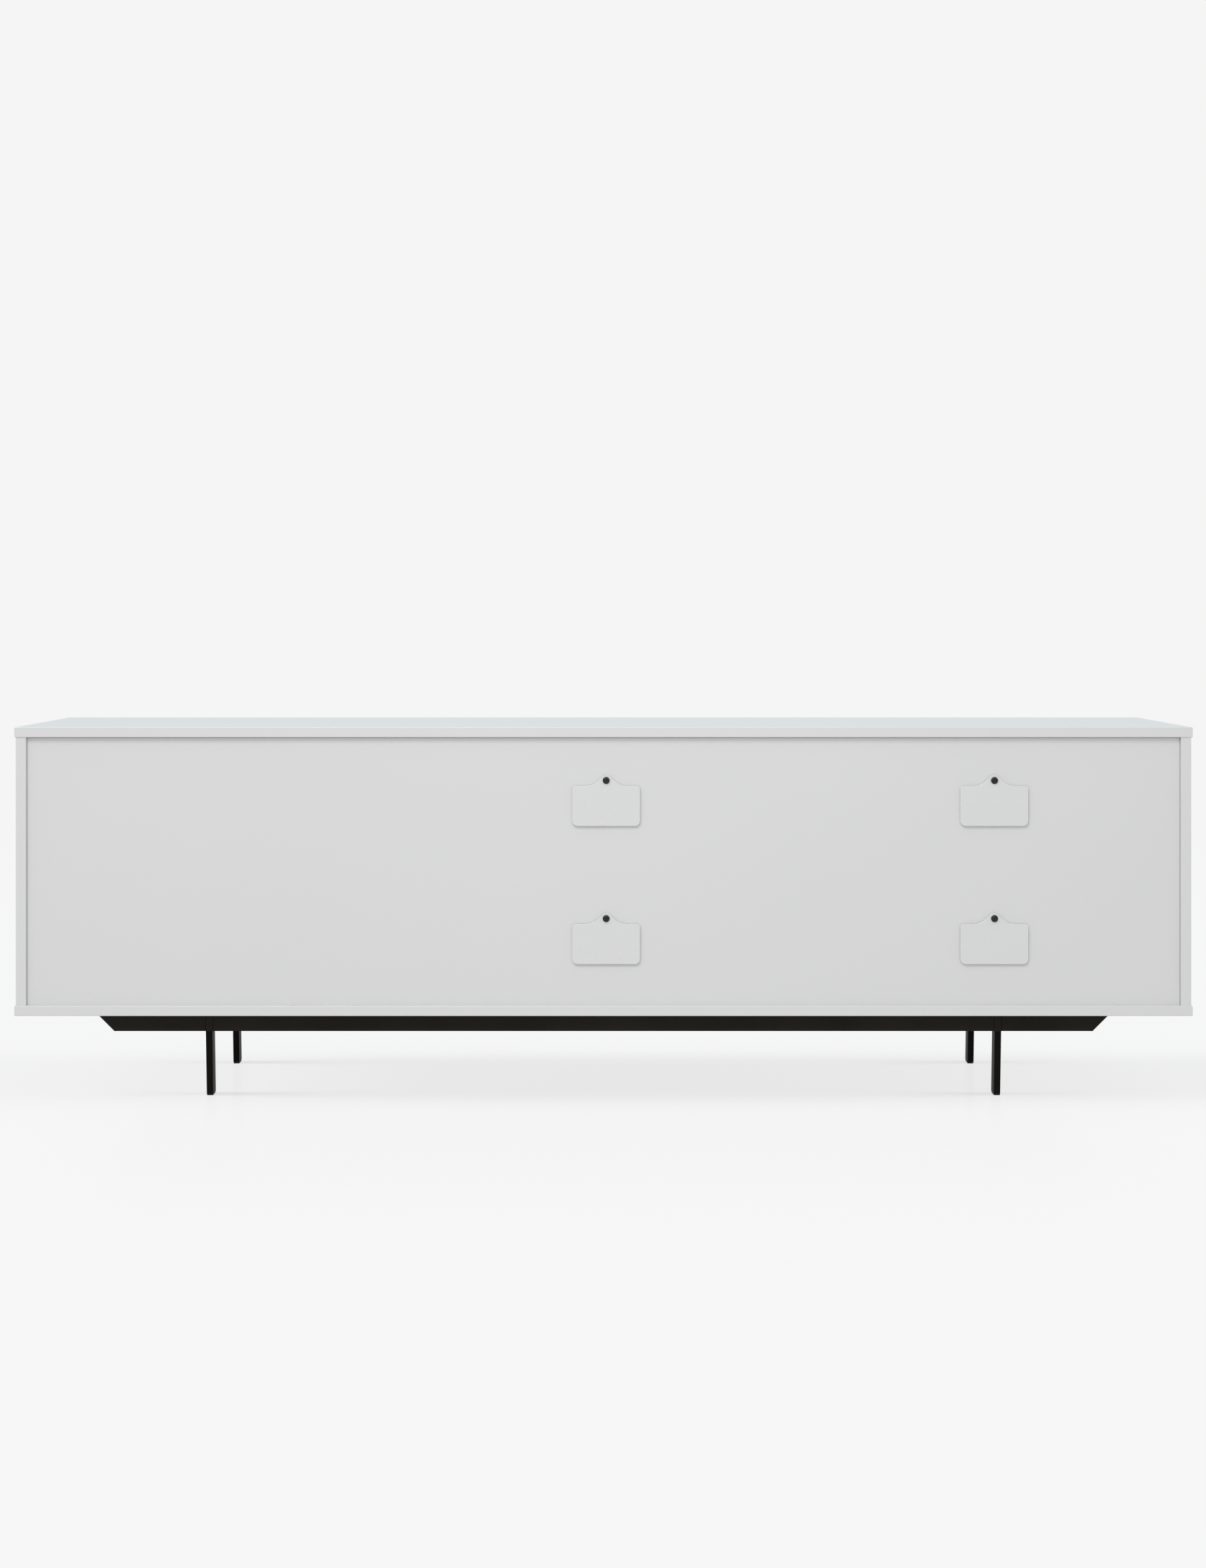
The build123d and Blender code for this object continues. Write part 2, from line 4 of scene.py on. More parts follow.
import bmesh
import bpy
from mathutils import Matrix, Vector


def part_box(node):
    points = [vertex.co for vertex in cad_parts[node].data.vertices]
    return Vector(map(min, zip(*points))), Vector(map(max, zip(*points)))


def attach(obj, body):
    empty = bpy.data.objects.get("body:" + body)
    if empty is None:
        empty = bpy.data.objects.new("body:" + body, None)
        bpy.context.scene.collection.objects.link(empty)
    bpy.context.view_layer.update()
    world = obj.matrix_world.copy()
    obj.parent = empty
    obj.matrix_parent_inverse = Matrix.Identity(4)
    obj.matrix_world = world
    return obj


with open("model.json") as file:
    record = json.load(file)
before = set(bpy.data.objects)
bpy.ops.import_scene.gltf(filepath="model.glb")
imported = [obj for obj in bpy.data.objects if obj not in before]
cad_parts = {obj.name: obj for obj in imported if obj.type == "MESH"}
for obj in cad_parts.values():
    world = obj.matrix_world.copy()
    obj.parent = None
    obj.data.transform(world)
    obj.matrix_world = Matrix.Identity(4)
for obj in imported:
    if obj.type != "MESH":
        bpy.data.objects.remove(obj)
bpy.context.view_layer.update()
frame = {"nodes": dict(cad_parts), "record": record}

NODES = frame["nodes"]
SLOT_OF = {part["node"]: part["material_slot"] for part in frame["record"]["subparts"]}
COLOUR_MIX_INPUTS = (0, 6, 7)  # where a Mix node that mixes colours takes its share and its two colours
COLOUR_MIX_OUTPUT = 2


# ---------------------------------------------------------------- node helpers
class Shader:
    """A material under construction: a Principled shader and the nodes that feed it."""

    def __init__(self, name):
        self.material = bpy.data.materials.new(name)
        self.material.use_nodes = True
        self.tree = self.material.node_tree
        self.surface = self.tree.nodes["Principled BSDF"]
        coordinates = self.tree.nodes.new("ShaderNodeTexCoord")
        self.place = coordinates.outputs["Object"]

    def node(self, kind, inputs=(), **settings):
        made = self.tree.nodes.new(kind)
        for name, value in settings.items():
            setattr(made, name, value)
        for socket, value in dict(inputs).items():
            if isinstance(value, bpy.types.NodeSocket):
                self.tree.links.new(value, made.inputs[socket])
            else:
                made.inputs[socket].default_value = value
        return made

    def stretched(self, x, y, z):
        """The object's coordinates, scaled by a factor along each axis."""
        made = self.node("ShaderNodeMapping", {"Vector": self.place, "Scale": (x, y, z)})
        return made.outputs["Vector"]

    def noise(self, per_metre, detail=3.0, roughness=0.5, place=None, distortion=0.0):
        """Noise with so many cycles per metre, about 0.3 to 0.7 over most of its area."""
        made = self.node(
            "ShaderNodeTexNoise",
            {
                "Vector": place or self.place,
                "Scale": per_metre,
                "Detail": detail,
                "Roughness": roughness,
                "Distortion": distortion,
            },
        )
        return made.outputs["Fac"]

    def between(self, value, low, high, from_low=0.3, from_high=0.7):
        """A texture value spread from low to high."""
        made = self.node(
            "ShaderNodeMapRange",
            {"Value": value, "From Min": from_low, "From Max": from_high, "To Min": low, "To Max": high},
        )
        return made.outputs["Result"]

    def mix(self, share, first, second):
        """A colour between first and second."""
        made = self.node("ShaderNodeMix", data_type="RGBA")
        for index, value in zip(COLOUR_MIX_INPUTS, (share, first, second)):
            if isinstance(value, bpy.types.NodeSocket):
                self.tree.links.new(value, made.inputs[index])
            else:
                made.inputs[index].default_value = value
        return made.outputs[COLOUR_MIX_OUTPUT]

    def edges(self, width):
        """One along the piece's edges, zero on its flats."""
        rounded = self.node("ShaderNodeBevel", {"Radius": width}, samples=4)
        flat = self.node("ShaderNodeNewGeometry")
        turn = self.node(
            "ShaderNodeVectorMath",
            {0: rounded.outputs["Normal"], 1: flat.outputs["Normal"]},
            operation="DOT_PRODUCT",
        )
        return self.between(turn.outputs["Value"], 1.0, 0.0, 0.80, 0.995)

    def bump(self, layers):
        """Stack bumps, each a (height texture, depth in metres) pair."""
        normal = None
        for height, depth in layers:
            inputs = {"Height": height, "Distance": depth, "Strength": 1.0}
            if normal:
                inputs["Normal"] = normal
            normal = self.node("ShaderNodeBump", inputs).outputs["Normal"]
        self.tree.links.new(normal, self.surface.inputs["Normal"])

    def feed(self, **sockets):
        for name, value in sockets.items():
            socket = self.surface.inputs[name.replace("_", " ")]
            if isinstance(value, bpy.types.NodeSocket):
                self.tree.links.new(value, socket)
            else:
                socket.default_value = value


def rgb(red, green, blue):
    return (red, green, blue, 1.0)


# ---------------------------------------------------------------- materials
def lacquer(name, light, dark, gloss):
    """Sprayed satin lacquer: faint clouding, orange peel, and a painted highlight that lightens its
    arrises.
    """
    make = Shader(name)
    clouds = make.noise(2.2, detail=2.0)
    haze = make.noise(60.0, detail=3.0)
    peel = make.noise(420.0, detail=2.0, roughness=0.4)
    fibre = make.noise(1.0, detail=4.0, place=make.stretched(160.0, 160.0, 160.0))
    colour = make.mix(make.between(clouds, 0.0, 1.0, 0.1, 0.9), dark, light)
    # painted highlight: the arrises are mixed part way toward a paler white, standing for the light they
    # catch
    edge_lightening = make.node("ShaderNodeMath", {0: make.edges(0.0012), 1: 0.35}, operation="MULTIPLY")
    make.feed(
        Base_Color=make.mix(edge_lightening.outputs["Value"], colour, rgb(0.87, 0.87, 0.86)),
        Roughness=make.between(haze, gloss - 0.02, gloss + 0.02, 0.1, 0.9),
    )
    make.surface.inputs["IOR"].default_value = 1.5
    make.surface.inputs["Coat Weight"].default_value = 0.25
    make.surface.inputs["Coat Roughness"].default_value = 0.12
    make.bump([(peel, 0.000012), (fibre, 0.000004)])
    return make.material


def powder_coat(name, tone, edge_lightening=0.042):
    """Fine-textured warm black powder coat, its edges mixed toward a lighter grey, whose brightness the
    third argument sets.
    """
    make = Shader(name)
    grain = make.noise(1500.0, detail=2.0)
    clouds = make.noise(9.0, detail=3.0)
    dark = rgb(0.0068 * tone, 0.0059 * tone, 0.0050 * tone)
    light = rgb(0.0088 * tone, 0.0077 * tone, 0.0064 * tone)
    colour = make.mix(make.between(clouds, 0.0, 1.0), dark, light)
    colour = make.mix(make.edges(0.0010), colour, rgb(edge_lightening, edge_lightening * 0.95, edge_lightening * 0.92))
    make.feed(Base_Color=colour, Roughness=make.between(grain, 0.36, 0.48))
    make.surface.inputs["Specular IOR Level"].default_value = 0.045
    make.bump([(grain, 0.00003)])
    return make.material


def foil_board(name, tone):
    """Melamine-faced board with a faint pearl grain."""
    make = Shader(name)
    grain = make.noise(1.0, detail=5.0, place=make.stretched(40.0, 9.0, 300.0))
    light = rgb(tone, tone, 0.985 * tone)
    dark = rgb(0.965 * tone, 0.960 * tone, 0.941 * tone)
    make.feed(
        Base_Color=make.mix(make.between(grain, 0.0, 1.0), dark, light),
        Roughness=make.between(grain, 0.42, 0.52),
    )
    make.bump([(grain, 0.00002)])
    return make.material


def plated_steel(name):
    """Zinc plate: bluish, brushed along its length, with faint spangle."""
    make = Shader(name)
    brushed = make.noise(1.0, detail=4.0, place=make.stretched(2500.0, 60.0, 2500.0))
    cells = make.node("ShaderNodeTexVoronoi", {"Vector": make.place, "Scale": 260.0})
    spangle = make.between(cells.outputs["Distance"], 0.0, 1.0, 0.0, 0.8)
    colour = make.mix(spangle, rgb(0.50, 0.52, 0.55), rgb(0.66, 0.67, 0.69))
    make.feed(Base_Color=colour, Roughness=make.between(brushed, 0.24, 0.40), Metallic=1.0)
    make.bump([(brushed, 0.000008)])
    return make.material


def black_oxide(name):
    """Black-oxide steel screw: dark, oily sheen, lighter on its edges."""
    make = Shader(name)
    grain = make.noise(1800.0, detail=3.0)
    colour = make.mix(make.between(grain, 0.0, 1.0), rgb(0.022, 0.022, 0.022), rgb(0.040, 0.040, 0.041))
    colour = make.mix(make.edges(0.0005), colour, rgb(0.16, 0.16, 0.16))
    make.feed(Base_Color=colour, Roughness=make.between(grain, 0.28, 0.42), Metallic=0.7)
    make.bump([(grain, 0.00001)])
    return make.material


def moulded(name, light, dark, rough, specular=0.5):
    """Moulded plastic or rubber with a fine spark-eroded texture."""
    make = Shader(name)
    grain = make.noise(900.0, detail=3.0)
    make.feed(
        Base_Color=make.mix(make.between(grain, 0.0, 1.0), dark, light),
        Roughness=make.between(grain, rough - 0.06, rough + 0.06),
    )
    make.surface.inputs["Specular IOR Level"].default_value = specular
    make.bump([(grain, 0.00002)])
    return make.material


def beech_wood(name):
    """Raw beech with its short flecked grain along the dowel."""
    make = Shader(name)
    grain = make.noise(1.0, detail=6.0, place=make.stretched(900.0, 900.0, 70.0), distortion=0.4)
    make.feed(
        Base_Color=make.mix(make.between(grain, 0.0, 1.0), rgb(0.42, 0.26, 0.14), rgb(0.62, 0.43, 0.26)),
        Roughness=make.between(grain, 0.55, 0.7),
    )
    make.bump([(grain, 0.00005)])
    return make.material


WHITE = (rgb(0.719, 0.722, 0.719), rgb(0.709, 0.713, 0.710))  # the light and the dark of a colour
COVER_WHITE = (rgb(0.718, 0.723, 0.721), rgb(0.712, 0.717, 0.714))
PLASTIC_BLACK = (rgb(0.011, 0.011, 0.010), rgb(0.008, 0.008, 0.007))
PLASTIC_WHITE = (rgb(0.72, 0.72, 0.70), rgb(0.68, 0.68, 0.66))
RUBBER_GREY = (rgb(0.62, 0.63, 0.63), rgb(0.56, 0.57, 0.57))
MATERIALS = {
    "white_lacquer": lacquer("white_lacquer", *WHITE, gloss=0.30),
    "cover_lacquer": lacquer("cover_lacquer", *COVER_WHITE, gloss=0.28),
    "drawer_box_board": foil_board("drawer_box_board", tone=0.78),
    "drawer_bottom_board": foil_board("drawer_bottom_board", tone=0.74),
    "black_powder_coat": powder_coat("black_powder_coat", tone=0.85),
    # painted light: the beams get a copy of the legs' black powder coat 3.4 times lighter, standing for
    # how much brighter their faces are lit than the shaded legs
    "beam_powder_coat_painted_lighter": powder_coat("beam_powder_coat_painted_lighter", tone=2.9),
    # painted shade: the weld seams get a darker copy of the beams' powder coat with dimmer edges, so they
    # show as dark lines where shade falls along each leg's edges
    "weld_powder_coat_painted_shade": powder_coat("weld_powder_coat_painted_shade", tone=1.6, edge_lightening=0.016),
    "black_oxide_steel": black_oxide("black_oxide_steel"),
    "zinc_steel": plated_steel("zinc_steel"),
    "black_plastic": moulded("black_plastic", *PLASTIC_BLACK, rough=0.5, specular=0.15),
    "white_plastic": moulded("white_plastic", *PLASTIC_WHITE, rough=0.42),
    "clear_rubber": moulded("clear_rubber", *RUBBER_GREY, rough=0.35),
    "beech": beech_wood("beech"),
}


def dress(obj, slot, material=None):
    """Give a piece its procedural material, by default the one named after its record slot."""
    obj.data.materials.clear()
    obj.data.materials.append(MATERIALS[material or slot])


# the beams and their end caps wear the lighter copy of the frame's powder coat, which is painted light
BEAMS = ("rear_beam", "front_beam", "beam_end_caps")
for node_name, node_object in NODES.items():
    dress(node_object, SLOT_OF[node_name], "beam_powder_coat_painted_lighter" if node_name in BEAMS else None)


# ---------------------------------------------------------------- added pieces
LEG_WIDTH = 0.0125
LEGS = ("leg_front_left", "leg_front_right", "leg_rear_left", "leg_rear_right")
SEAM_WIDTH = 0.0016
SEAM_PROUD = 0.00035
FILLET_WELD = 0.0014
FILLET_SPREAD = 1.2  # a fillet bead's width as a share of its leg length
FILLET_REACH = FILLET_WELD / math.sqrt(2.0)
WELD_PITCH = 0.0012  # one ripple of a bead
WELD_RIPPLE = 0.18
WELD_END = 0.35  # height of a bead's ends as a share of its full height
WELD_RUN_UP = 1.0 / 6.0  # share of a bead's length over which it comes up to full height
CROWN_STEPS = 8
RIPPLE_STEPS = 4
SCREW_RADIUS = 0.0033
SCREW_HEIGHT = 0.0016
SCREW_SIDES = 48
SCREW_DOME = ((1.0, 0.0), (1.0, 0.35), (0.94, 0.62), (0.80, 0.86), (0.62, 1.0))  # radius and height shares
SCREW_PLACES = (0.035, 0.165, 0.310)  # back from the front end of a slide member
RECESS_ARM = 0.55
RECESS_CORE = 0.20
RECESS_HALF_ANGLE = math.radians(14.0)
RECESS_TAPER = 0.7
RECESS_FLOOR = 0.4
CABINET_WEB_INSET = 0.0012  # from a slide member's outer side to the face its screws sit on
DRAWER_WEB_INSET = 0.0051


def add_piece(name, slot, body, build, *details, material=None):
    """A new mesh object, filled by build(bmesh, *details), dressed and carried by a body."""
    mesh = bpy.data.meshes.new(name)
    made = bmesh.new()
    build(made, *details)
    bmesh.ops.recalc_face_normals(made, faces=made.faces)
    for face in made.faces:
        face.smooth = True
    made.to_mesh(mesh)
    made.free()
    piece = bpy.data.objects.new(name, mesh)
    bpy.context.scene.collection.objects.link(piece)
    dress(piece, slot, material)
    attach(piece, body)
    return piece


def bead(made, start, end, across, out, width, proud, sunk):
    """A rippled weld bead from start to end: its base lies along across, its crown stands out."""
    start, end, across, out = (Vector(v) for v in (start, end, across, out))
    length = (end - start).length
    steps = round(length / WELD_PITCH) * RIPPLE_STEPS
    section = [math.pi * k / CROWN_STEPS for k in range(CROWN_STEPS + 1)]
    rings = []
    for step in range(steps + 1):
        along = step / steps
        taper = min(1.0, min(along, 1.0 - along) / WELD_RUN_UP + WELD_END)
        ripple = 0.5 + 0.5 * math.cos(2.0 * math.pi * along * length / WELD_PITCH)
        height = proud * taper * (1.0 - WELD_RIPPLE * ripple)
        centre = start.lerp(end, along)
        half = across * (width / 2)
        crown = [centre + half * math.cos(a) + out * (height * math.sin(a)) for a in section]
        base = [centre - half - out * sunk, centre + half - out * sunk]
        rings.append([made.verts.new(point) for point in crown + base])
    for first, second in zip(rings, rings[1:]):
        count = len(first)
        for k in range(count):
            made.faces.new((first[k], first[(k + 1) % count], second[(k + 1) % count], second[k]))
    made.faces.new(rings[0])
    made.faces.new(list(reversed(rings[-1])))


def leg_top(low, high):
    """The two sides of a leg at its top, the end that leans away from the console's middle."""
    return (high.x - LEG_WIDTH, high.x) if high.x > 0 else (low.x, low.x + LEG_WIDTH)


def leg_seams(made):
    """Dressed-back welds up each beam's outer face, along both edges of every leg."""
    for leg in LEGS:
        low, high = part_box(leg)
        beam_low, beam_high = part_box("rear_beam" if "rear" in leg else "front_beam")
        outward = 1.0 if "rear" in leg else -1.0
        face_y = beam_high.y if outward > 0 else beam_low.y
        top_low, top_high = leg_top(low, high)
        for edge_x in (top_low - SEAM_WIDTH / 2, top_high + SEAM_WIDTH / 2):
            start = (edge_x, face_y, beam_low.z + SEAM_WIDTH)
            end = (edge_x, face_y, beam_high.z - SEAM_WIDTH)
            bead(made, start, end, (1, 0, 0), (0, outward, 0), SEAM_WIDTH, SEAM_PROUD, SEAM_PROUD)


def fillet(made, start, end, across, out):
    """A fillet weld along an inside corner from start to end, its crown facing out."""
    out = Vector(out).normalized()
    sunk = FILLET_REACH / 2
    start = Vector(start) + out * sunk
    end = Vector(end) + out * sunk
    bead(made, start, end, Vector(across).normalized(), out, FILLET_WELD * FILLET_SPREAD, sunk, sunk)


def leg_fillets(made):
    """Fillet welds in the corners where each leg meets its beam's underside."""
    for leg in LEGS:
        low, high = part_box(leg)
        top_low, top_high = leg_top(low, high)
        for corner_x, side in ((top_low, -1.0), (top_high, 1.0)):
            start = (corner_x, low.y + FILLET_WELD, high.z)
            end = (corner_x, high.y - FILLET_WELD, high.z)
            fillet(made, start, end, across=(side, 0, 1), out=(side, 0, -1))


def rail_fillets(made):
    """Fillet welds up both sides and along the bottom of each cross rail's ends."""
    for rail in ("cross_rail_left", "cross_rail_right"):
        low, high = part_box(rail)
        for wall_y, inward in ((low.y, 1.0), (high.y, -1.0)):
            for side_x, side in ((low.x, -1.0), (high.x, 1.0)):
                start = (side_x, wall_y, low.z + FILLET_WELD)
                end = (side_x, wall_y, high.z - FILLET_WELD)
                fillet(made, start, end, across=(side, -inward, 0), out=(side, inward, 0))
            start = (low.x + FILLET_WELD, wall_y, low.z)
            end = (high.x - FILLET_WELD, wall_y, low.z)
            fillet(made, start, end, across=(0, inward, 1), out=(0, inward, -1))


def recess_reach(angle):
    """How far a cross recess reaches from a screw's centre, as a share of the head's radius."""
    off_arm = abs((angle + math.pi / 4) % (math.pi / 2) - math.pi / 4)
    return RECESS_ARM if off_arm < RECESS_HALF_ANGLE else RECESS_CORE


def pan_head(made, seat, crown):
    """A domed screw head with a cross recess, sitting on seat with its crown toward a unit vector."""
    turn = Vector(crown).to_track_quat("Z", "Y")
    angles = [2.0 * math.pi * k / SCREW_SIDES for k in range(SCREW_SIDES)]

    def ring(shares, rise):
        made_ring = []
        for angle, share in zip(angles, shares):
            reach = SCREW_RADIUS * share
            point = Vector((math.cos(angle) * reach, math.sin(angle) * reach, rise * SCREW_HEIGHT))
            made_ring.append(made.verts.new(Vector(seat) + turn @ point))
        return made_ring

    rings = [ring([share] * SCREW_SIDES, rise) for share, rise in SCREW_DOME]
    rings.append(ring([recess_reach(angle) for angle in angles], SCREW_DOME[-1][1]))
    rings.append(ring([recess_reach(angle) * RECESS_TAPER for angle in angles], RECESS_FLOOR))
    for first, second in zip(rings, rings[1:]):
        for k in range(SCREW_SIDES):
            beside = (k + 1) % SCREW_SIDES
            made.faces.new((first[k], first[beside], second[beside], second[k]))
    made.faces.new(list(reversed(rings[0])))
    made.faces.new(rings[-1])


def slide_screws(made, slides, web_inset, crown):
    """Screws along the webs of a pair of slide members, their crowns outward (1) or inward (-1)."""
    low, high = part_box(slides)
    level = (low.z + high.z) / 2
    for outer_x, side in ((low.x, -1.0), (high.x, 1.0)):
        for back in SCREW_PLACES:
            seat = (outer_x - side * web_inset, low.y + back, level)
            pan_head(made, seat, (side * crown, 0, 0))


# the seams' darker powder coat is painted shade along the edges of each leg
add_piece("leg_weld_seams_painted_shade", "black_powder_coat", "cabinet", leg_seams, material="weld_powder_coat_painted_shade")
add_piece("leg_weld_fillets", "black_powder_coat", "cabinet", leg_fillets)
add_piece("rail_weld_fillets", "black_powder_coat", "cabinet", rail_fillets)
for drawer in ("drawer_upper", "drawer_lower"):
    cabinet_slides = (drawer + "_cabinet_slides", CABINET_WEB_INSET, -1.0)
    drawer_slides = (drawer + "_drawer_slides", DRAWER_WEB_INSET, 1.0)
    add_piece(drawer + "_cabinet_slide_screws", "zinc_steel", "cabinet", slide_screws, *cabinet_slides)
    add_piece(drawer + "_slide_screws", "zinc_steel", drawer, slide_screws, *drawer_slides)


# ---------------------------------------------------------------- stage
BACKGROUND = 0.913  # linear grey of the seamless background
FLOOR_RADIUS = 60.0
FLOOR_DROP = 0.0002  # keeps the floor clear of the glides' undersides
FLOOR_GREY = 0.12
FLOOR_MOTTLE = 1.02  # how much paler its palest spots are
FLOOR_COAT = 0.11
FLOOR_COAT_ROUGHNESS = 0.22
FLOOR_GLOW = 0.675  # the part of the floor's brightness that no shadow takes away
FLOOR_GLOW_COLOUR = rgb(1.0, 0.996, 0.994)
FLOOR_BOUNCE = 0.46  # what the floor's glow sends up at the console
FAR_BOUNCE = 0.60
FLOOR_NEAR = 3.0  # metres from the console where the lit floor begins to fade into the background
FLOOR_FAR = 6.0
SURROUND_BEYOND = 0.70
SURROUND_BEHIND = 0.56
SURROUND_OVERHEAD = 0.16
TINT_BEYOND = rgb(0.915, 0.995, 1.030)
TINT_BEHIND = rgb(1.000, 1.000, 0.990)
NEUTRAL = rgb(1.0, 1.0, 1.0)

BASE_LIGHT_ANGLE = math.radians(14.0)
LEG_LIGHT_ANGLE = math.radians(24.0)
STANDING_NODES = LEGS + ("glides",)
BASE_NODES = STANDING_NODES + ("rear_beam", "front_beam", "bottom_panel")
FLOOR_LIGHTS = (  # name, place it shines from, strength, angle, nodes that throw its shadow
    ("floor_light_left", (3.0, 0.0, 0.72), 7.0, BASE_LIGHT_ANGLE, BASE_NODES),
    ("floor_light_right", (-3.0, 0.0, 0.80), 3.0, BASE_LIGHT_ANGLE, BASE_NODES),
    ("leg_light_left", (3.0, 0.0, 1.9), 1.9, LEG_LIGHT_ANGLE, STANDING_NODES),
    ("leg_light_right", (-3.0, 0.0, 1.9), 1.9, LEG_LIGHT_ANGLE, STANDING_NODES),
)

SOFTBOX_SIZE = (3.2, 2.2)
FILL_SIZE = (1.2, 0.6)
WARM_WHITE = (1.0, 0.995, 0.98)
COOL_WHITE = (0.97, 1.0, 0.99)
SOFTBOXES = (  # name, place, point it is aimed at, size, watts, colour, seen in gloss
    ("key_softbox", (1.6, 4.6, 4.7), (0.0, 0.2, 0.4), SOFTBOX_SIZE, 120.0, WARM_WHITE, True),
    ("front_softbox", (-1.4, -4.4, 4.2), (0.0, -0.2, 0.4), SOFTBOX_SIZE, 80.0, WARM_WHITE, False),
    ("rear_fill", (-0.1, 2.3, 1.5), (-0.1, 0.2, 0.4), FILL_SIZE, 6.0, COOL_WHITE, True),
)

CAMERA_PLACE = (0.0, 4.593, 0.894)
CAMERA_TURN = (math.radians(90.0), 0.0, math.radians(180.0))
CAMERA_SENSOR = 36.0
CAMERA_LENS = 53.7363
CAMERA_SHIFT = (-0.00032, -0.10348)


def make_floor():
    """A very large pale disc that turns into the plain background away from the console."""
    mesh = bpy.data.meshes.new("studio_floor")
    made = bmesh.new()
    bmesh.ops.create_circle(made, cap_ends=True, segments=96, radius=FLOOR_RADIUS)
    made.to_mesh(mesh)
    made.free()
    floor = bpy.data.objects.new("studio_floor", mesh)
    floor.location.z = -FLOOR_DROP
    bpy.context.scene.collection.objects.link(floor)
    floor.data.materials.append(floor_material())
    return floor


def floor_material():
    """Faintly glossy pale paint that glows, and fades into the background with distance."""
    make = Shader("studio_floor")
    grain = make.noise(30.0, detail=3.0)
    pale = rgb(*[FLOOR_GREY] * 3)
    paler = rgb(*[FLOOR_GREY * FLOOR_MOTTLE] * 3)
    make.feed(Base_Color=make.mix(grain, pale, paler), Roughness=1.0)
    make.surface.inputs["Specular IOR Level"].default_value = 0.0
    make.surface.inputs["Coat Weight"].default_value = FLOOR_COAT
    make.surface.inputs["Coat Roughness"].default_value = FLOOR_COAT_ROUGHNESS
    make.surface.inputs["Emission Color"].default_value = FLOOR_GLOW_COLOUR
    direct = make.node("ShaderNodeLightPath").outputs["Is Camera Ray"]
    glow = make.between(direct, FLOOR_BOUNCE, FLOOR_GLOW, 0.0, 1.0)
    make.tree.links.new(glow, make.surface.inputs["Emission Strength"])
    far_glow = make.between(direct, FAR_BOUNCE, BACKGROUND, 0.0, 1.0)
    far = make.node("ShaderNodeEmission", {"Strength": far_glow})
    distance = make.node("ShaderNodeVectorMath", {0: make.place}, operation="LENGTH")
    share = make.between(distance.outputs["Value"], 0.0, 1.0, FLOOR_NEAR, FLOOR_FAR)
    fade = make.node("ShaderNodeMixShader", {0: share, 1: make.surface.outputs[0], 2: far.outputs[0]})
    output = make.tree.nodes["Material Output"]
    make.tree.links.new(fade.outputs[0], output.inputs["Surface"])
    return make.material


def make_world():
    """A plain pale background, and a soft surround that depends on where it is seen from the console."""
    world = bpy.data.worlds.new("studio")
    bpy.context.scene.world = world
    world.use_nodes = True
    tree = world.node_tree
    add, link = tree.nodes.new, tree.links.new

    def spread(value, from_low, from_high, low, high):
        """A value spread from low to high."""
        made = add("ShaderNodeMapRange")
        numbers = {"From Min": from_low, "From Max": from_high, "To Min": low, "To Max": high}
        for name, number in numbers.items():
            made.inputs[name].default_value = number
        link(value, made.inputs["Value"])
        return made.outputs["Result"]

    direction = add("ShaderNodeSeparateXYZ")
    link(add("ShaderNodeTexCoord").outputs["Generated"], direction.inputs[0])
    strength = add("ShaderNodeMath")
    strength.operation = "ADD"
    link(spread(direction.outputs["Y"], -1.0, 1.0, SURROUND_BEYOND, SURROUND_BEHIND), strength.inputs[0])
    link(spread(direction.outputs["Z"], 0.0, 1.0, 0.0, SURROUND_OVERHEAD), strength.inputs[1])
    tint = add("ShaderNodeMix")
    tint.data_type = "RGBA"
    share, beyond, behind = (tint.inputs[k] for k in COLOUR_MIX_INPUTS)
    beyond.default_value = TINT_BEYOND
    behind.default_value = TINT_BEHIND
    link(spread(direction.outputs["Y"], -1.0, 1.0, 0.0, 1.0), share)
    surround = add("ShaderNodeBackground")
    link(tint.outputs[COLOUR_MIX_OUTPUT], surround.inputs["Color"])
    link(strength.outputs[0], surround.inputs["Strength"])
    shown = tree.nodes["Background"]
    shown.inputs["Color"].default_value = NEUTRAL
    shown.inputs["Strength"].default_value = BACKGROUND
    mix = add("ShaderNodeMixShader")
    link(add("ShaderNodeLightPath").outputs["Is Camera Ray"], mix.inputs[0])
    link(surround.outputs[0], mix.inputs[1])
    link(shown.outputs[0], mix.inputs[2])
    link(mix.outputs[0], tree.nodes["World Output"].inputs["Surface"])


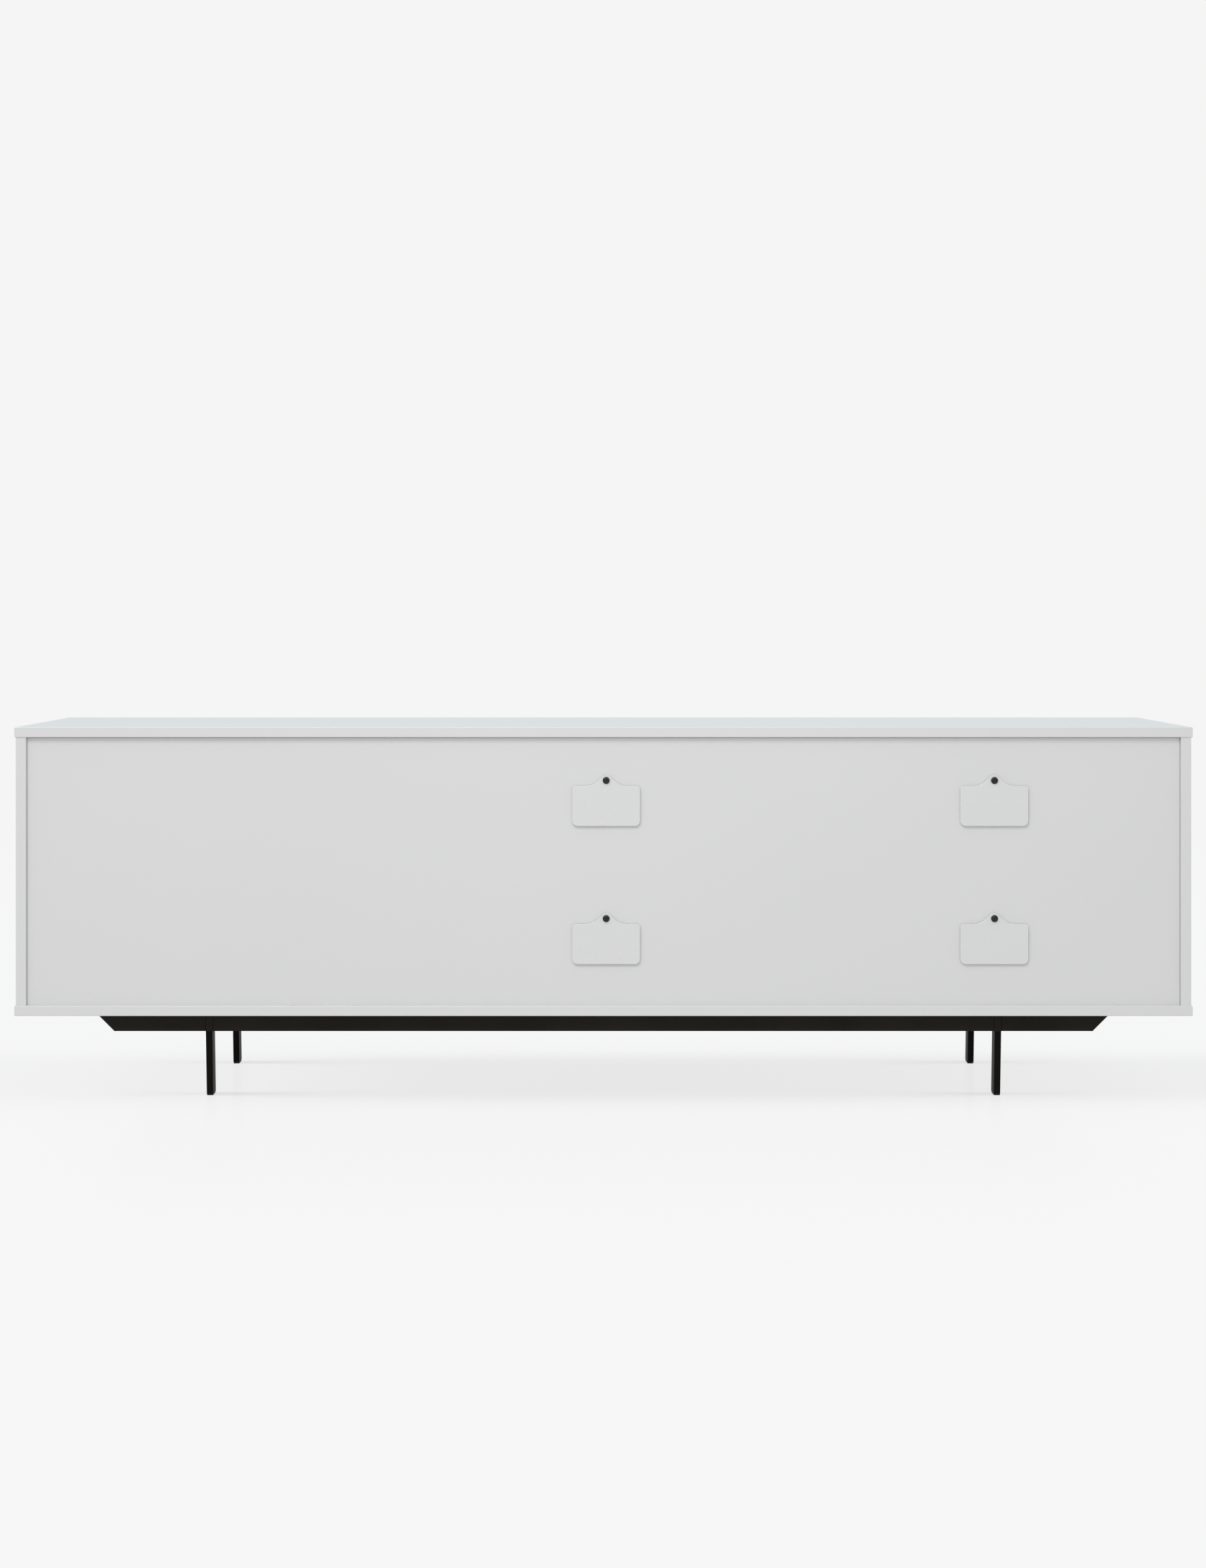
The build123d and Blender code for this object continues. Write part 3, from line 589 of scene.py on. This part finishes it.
def link_light(light, obj, state):
    """Limit a light with respect to one object: INCLUDE lights only it, EXCLUDE all but it."""
    receivers = bpy.data.collections.new(light.name + "_receivers")
    receivers.objects.link(obj)
    light.light_linking.receiver_collection = receivers
    receivers.collection_objects[0].light_linking.link_state = state


def aim(light, place, target):
    """Put a light into the scene at a place, shining at a target."""
    light.location = place
    light.rotation_mode = "QUATERNION"
    light.rotation_quaternion = (Vector(place) - Vector(target)).to_track_quat("Z", "Y")
    bpy.context.scene.collection.objects.link(light)


def make_softbox(floor, name, place, target, size, power, colour, in_gloss):
    """A rectangular soft light that leaves the floor alone."""
    data = bpy.data.lights.new(name, "AREA")
    data.shape = "RECTANGLE"
    data.size, data.size_y = size
    data.energy = power
    data.color = colour
    light = bpy.data.objects.new(name, data)
    light.visible_glossy = in_gloss
    aim(light, place, target)
    link_light(light, floor, "EXCLUDE")


def make_floor_light(floor, name, place, strength, angle, blocker_nodes):
    """A low side light that only lights the floor, where a few chosen nodes throw its shadow."""
    data = bpy.data.lights.new(name, "SUN")
    data.energy = strength
    data.angle = angle
    light = bpy.data.objects.new(name, data)
    light.visible_glossy = False
    aim(light, place, (0.0, 0.0, 0.0))
    link_light(light, floor, "INCLUDE")
    blockers = bpy.data.collections.new(name + "_blockers")
    for blocker in blocker_nodes:
        blockers.objects.link(NODES[blocker])
    light.light_linking.blocker_collection = blockers


def make_camera():
    """The viewpoint: square on to the console's back, level, a little above its top."""
    data = bpy.data.cameras.new("camera")
    data.sensor_width = CAMERA_SENSOR
    data.lens = CAMERA_LENS
    data.shift_x, data.shift_y = CAMERA_SHIFT
    camera = bpy.data.objects.new("camera", data)
    camera.location = CAMERA_PLACE
    camera.rotation_euler = CAMERA_TURN
    bpy.context.scene.collection.objects.link(camera)
    bpy.context.scene.camera = camera


studio_floor = make_floor()
make_world()
for softbox in SOFTBOXES:
    make_softbox(studio_floor, *softbox)
for floor_light in FLOOR_LIGHTS:
    make_floor_light(studio_floor, *floor_light)
make_camera()
bpy.context.scene.view_settings.view_transform = "Standard"
